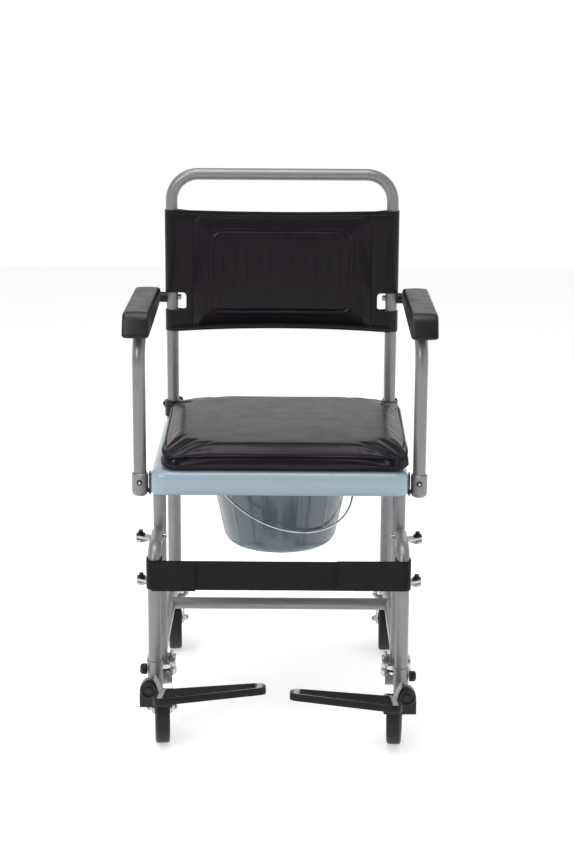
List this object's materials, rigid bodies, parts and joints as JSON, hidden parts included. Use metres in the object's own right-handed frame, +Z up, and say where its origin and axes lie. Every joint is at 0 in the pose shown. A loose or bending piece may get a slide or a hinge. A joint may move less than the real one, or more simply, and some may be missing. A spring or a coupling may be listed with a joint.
{
  "type": "wheeled commode chair",
  "caption": "Wheeled commode chair with a loose cushion over an open seat, slide-out pan, lift-up arms, swing-away footrests and swivel casters.",
  "frame": {"origin": "on the floor, under the middle of the chair's width and length", "axes": "+Z up, -Y the way the sitter faces, +X to the sitter's left, which is the viewer's right from the front"},
  "size_m": [0.539, 0.7332, 0.9631],
  "materials": {
    "frame_tube": "silver-grey powder coat, satin",
    "zinc": "bright zinc plate",
    "caster_chrome": "polished zinc",
    "black_plastic": "matt black moulding",
    "arm_pad": "moulded polyurethane skin",
    "vinyl": "black upholstery vinyl",
    "seat_plastic": "pale blue-grey, glossy",
    "pan_plastic": "blue-grey, glossy",
    "bail_wire": "zinc-plated wire",
    "plate_plastic": "light grey moulding",
    "foot_mat": "ribbed black rubber",
    "webbing": "black nylon webbing",
    "tyre": "solid black",
    "wheel_core": "dark grey moulding"
  },
  "bodies": {
    "frame": {"left_side_frame": "frame_tube", "right_side_frame": "frame_tube", "cross_tubes": "frame_tube", "foot_plates": "zinc", "foot_plate_bolts": "zinc", "caster_housings": "caster_chrome", "seat_board": "seat_plastic", "seat_clips": "black_plastic", "pan_rails": "zinc", "post_collars": "black_plastic", "hanger_brackets": "zinc", "hanger_pins": "black_plastic", "arm_pegs": "black_plastic"},
    "backrest": {"back_tube": "frame_tube", "back_sling": "vinyl", "arm_pivot_bolts": "zinc", "arm_spacers": "black_plastic"},
    "left_back_knob": {"left_back_knob": "black_plastic"},
    "left_arm": {"left_arm_tube": "frame_tube", "left_arm_pad": "arm_pad", "left_arm_end": "frame_tube"},
    "left_arm_button": {"left_arm_button": "zinc"},
    "left_hanger": {"left_hanger_tube": "frame_tube", "left_hanger_hinge": "zinc", "left_calf_strap": "webbing"},
    "left_hanger_latch": {"left_hanger_latch": "zinc"},
    "left_foot_sleeve": {"left_foot_sleeve": "frame_tube"},
    "left_height_knob": {"left_height_knob": "black_plastic"},
    "left_footplate": {"left_footplate": "plate_plastic", "left_foot_mat": "foot_mat"},
    "right_back_knob": {"right_back_knob": "black_plastic"},
    "right_arm": {"right_arm_tube": "frame_tube", "right_arm_pad": "arm_pad", "right_arm_end": "frame_tube"},
    "right_arm_button": {"right_arm_button": "zinc"},
    "right_hanger": {"right_hanger_tube": "frame_tube", "right_hanger_hinge": "zinc", "right_calf_strap": "webbing"},
    "right_hanger_latch": {"right_hanger_latch": "zinc"},
    "right_foot_sleeve": {"right_foot_sleeve": "frame_tube"},
    "right_height_knob": {"right_height_knob": "black_plastic"},
    "right_footplate": {"right_footplate": "plate_plastic", "right_foot_mat": "foot_mat"},
    "front_left_caster": {"front_left_fork": "caster_chrome"},
    "front_left_wheel": {"front_left_wheel_core": "wheel_core", "front_left_tyre": "tyre"},
    "front_right_caster": {"front_right_fork": "caster_chrome"},
    "front_right_wheel": {"front_right_wheel_core": "wheel_core", "front_right_tyre": "tyre"},
    "rear_left_caster": {"rear_left_fork": "caster_chrome"},
    "rear_left_wheel": {"rear_left_wheel_core": "wheel_core", "rear_left_tyre": "tyre"},
    "rear_left_brake": {"rear_left_brake": "zinc"},
    "rear_right_caster": {"rear_right_fork": "caster_chrome"},
    "rear_right_wheel": {"rear_right_wheel_core": "wheel_core", "rear_right_tyre": "tyre"},
    "rear_right_brake": {"rear_right_brake": "zinc"},
    "cushion": {"cushion": "vinyl"},
    "pan": {"pan": "pan_plastic"},
    "bail": {"bail": "bail_wire"}
  },
  "joints": [
    {"name": "backrest_lift", "type": "slide", "parent": "frame", "child": "backrest", "axis": [0, 0, 1], "range_m": [0, 0.1]},
    {"name": "left_back_knob_turn", "type": "hinge", "parent": "frame", "child": "left_back_knob", "pos_m": [-0.208, 0.2905, 0.5], "axis": [0, 1, 0], "continuous": true},
    {"name": "left_arm_lift", "type": "hinge", "parent": "backrest", "child": "left_arm", "pos_m": [-0.243, 0.2705, 0.718], "axis": [-1, 0, 0], "range_deg": [0, 100]},
    {"name": "left_arm_button_press", "type": "slide", "parent": "left_arm", "child": "left_arm_button", "axis": [0, 1, 0], "range_m": [0, 0.003], "stiffness_N_per_m": 800},
    {"name": "left_hanger_swing", "type": "hinge", "parent": "frame", "child": "left_hanger", "pos_m": [-0.24, -0.1545, 0.34], "axis": [0, 0, -1], "range_deg": [0, 100]},
    {"name": "left_hanger_latch_press", "type": "slide", "parent": "left_hanger", "child": "left_hanger_latch", "axis": [-1, 0, 0], "range_m": [0, 0.003], "stiffness_N_per_m": 800},
    {"name": "left_footrest_height", "type": "slide", "parent": "left_hanger", "child": "left_foot_sleeve", "axis": [0, 0, 1], "range_m": [-0.03, 0.015]},
    {"name": "left_height_knob_turn", "type": "hinge", "parent": "left_foot_sleeve", "child": "left_height_knob", "pos_m": [-0.225, -0.2505, 0.166], "axis": [1, 0, 0], "continuous": true},
    {"name": "left_footplate_flip", "type": "hinge", "parent": "left_foot_sleeve", "child": "left_footplate", "pos_m": [-0.22, -0.2725, 0.137], "axis": [0, -1, 0], "range_deg": [0, 90]},
    {"name": "right_back_knob_turn", "type": "hinge", "parent": "frame", "child": "right_back_knob", "pos_m": [0.208, 0.2905, 0.5], "axis": [0, 1, 0], "continuous": true},
    {"name": "right_arm_lift", "type": "hinge", "parent": "backrest", "child": "right_arm", "pos_m": [0.243, 0.2705, 0.718], "axis": [-1, 0, 0], "range_deg": [0, 100]},
    {"name": "right_arm_button_press", "type": "slide", "parent": "right_arm", "child": "right_arm_button", "axis": [0, 1, 0], "range_m": [0, 0.003], "stiffness_N_per_m": 800},
    {"name": "right_hanger_swing", "type": "hinge", "parent": "frame", "child": "right_hanger", "pos_m": [0.24, -0.1545, 0.34], "axis": [0, 0, 1], "range_deg": [0, 100]},
    {"name": "right_hanger_latch_press", "type": "slide", "parent": "right_hanger", "child": "right_hanger_latch", "axis": [1, 0, 0], "range_m": [0, 0.003], "stiffness_N_per_m": 800},
    {"name": "right_footrest_height", "type": "slide", "parent": "right_hanger", "child": "right_foot_sleeve", "axis": [0, 0, 1], "range_m": [-0.03, 0.015]},
    {"name": "right_height_knob_turn", "type": "hinge", "parent": "right_foot_sleeve", "child": "right_height_knob", "pos_m": [0.225, -0.2505, 0.156], "axis": [1, 0, 0], "continuous": true},
    {"name": "right_footplate_flip", "type": "hinge", "parent": "right_foot_sleeve", "child": "right_footplate", "pos_m": [0.22, -0.2725, 0.127], "axis": [0, 1, 0], "range_deg": [0, 90]},
    {"name": "front_left_swivel", "type": "hinge", "parent": "frame", "child": "front_left_caster", "pos_m": [-0.208, -0.1355, 0.13], "axis": [0, 0, 1], "continuous": true},
    {"name": "front_left_roll", "type": "hinge", "parent": "front_left_caster", "child": "front_left_wheel", "pos_m": [-0.20517, -0.16788, 0.0625], "axis": [-0.9962, -0.0872, 0], "continuous": true},
    {"name": "front_right_swivel", "type": "hinge", "parent": "frame", "child": "front_right_caster", "pos_m": [0.208, -0.1355, 0.13], "axis": [0, 0, 1], "continuous": true},
    {"name": "front_right_roll", "type": "hinge", "parent": "front_right_caster", "child": "front_right_wheel", "pos_m": [0.20517, -0.16788, 0.0625], "axis": [-0.9962, 0.0872, 0], "continuous": true},
    {"name": "rear_left_swivel", "type": "hinge", "parent": "frame", "child": "rear_left_caster", "pos_m": [-0.208, 0.2705, 0.13], "axis": [0, 0, 1], "continuous": true},
    {"name": "rear_left_roll", "type": "hinge", "parent": "rear_left_caster", "child": "rear_left_wheel", "pos_m": [-0.21027, 0.30292, 0.0625], "axis": [0.9976, 0.0698, 0], "continuous": true},
    {"name": "rear_left_brake_press", "type": "hinge", "parent": "rear_left_caster", "child": "rear_left_brake", "pos_m": [-0.20905, 0.28546, 0.117], "axis": [-0.9976, -0.0698, 0], "range_deg": [0, 6]},
    {"name": "rear_right_swivel", "type": "hinge", "parent": "frame", "child": "rear_right_caster", "pos_m": [0.208, 0.2705, 0.13], "axis": [0, 0, 1], "continuous": true},
    {"name": "rear_right_roll", "type": "hinge", "parent": "rear_right_caster", "child": "rear_right_wheel", "pos_m": [0.20913, 0.30298, 0.0625], "axis": [0.9994, -0.0349, 0], "continuous": true},
    {"name": "rear_right_brake_press", "type": "hinge", "parent": "rear_right_caster", "child": "rear_right_brake", "pos_m": [0.20852, 0.28549, 0.117], "axis": [-0.9994, 0.0349, 0], "range_deg": [0, 6]},
    {"name": "cushion_lift", "type": "slide", "parent": "frame", "child": "cushion", "axis": [0, 0, 1], "range_m": [0, 0.1]},
    {"name": "pan_slide", "type": "slide", "parent": "frame", "child": "pan", "axis": [0, 1, 0], "range_m": [0, 0.35]},
    {"name": "bail_swing", "type": "hinge", "parent": "pan", "child": "bail", "pos_m": [0, 0.0675, 0.4365], "axis": [-0.788, -0.6157, 0], "range_deg": [0, 20]}
  ]
}
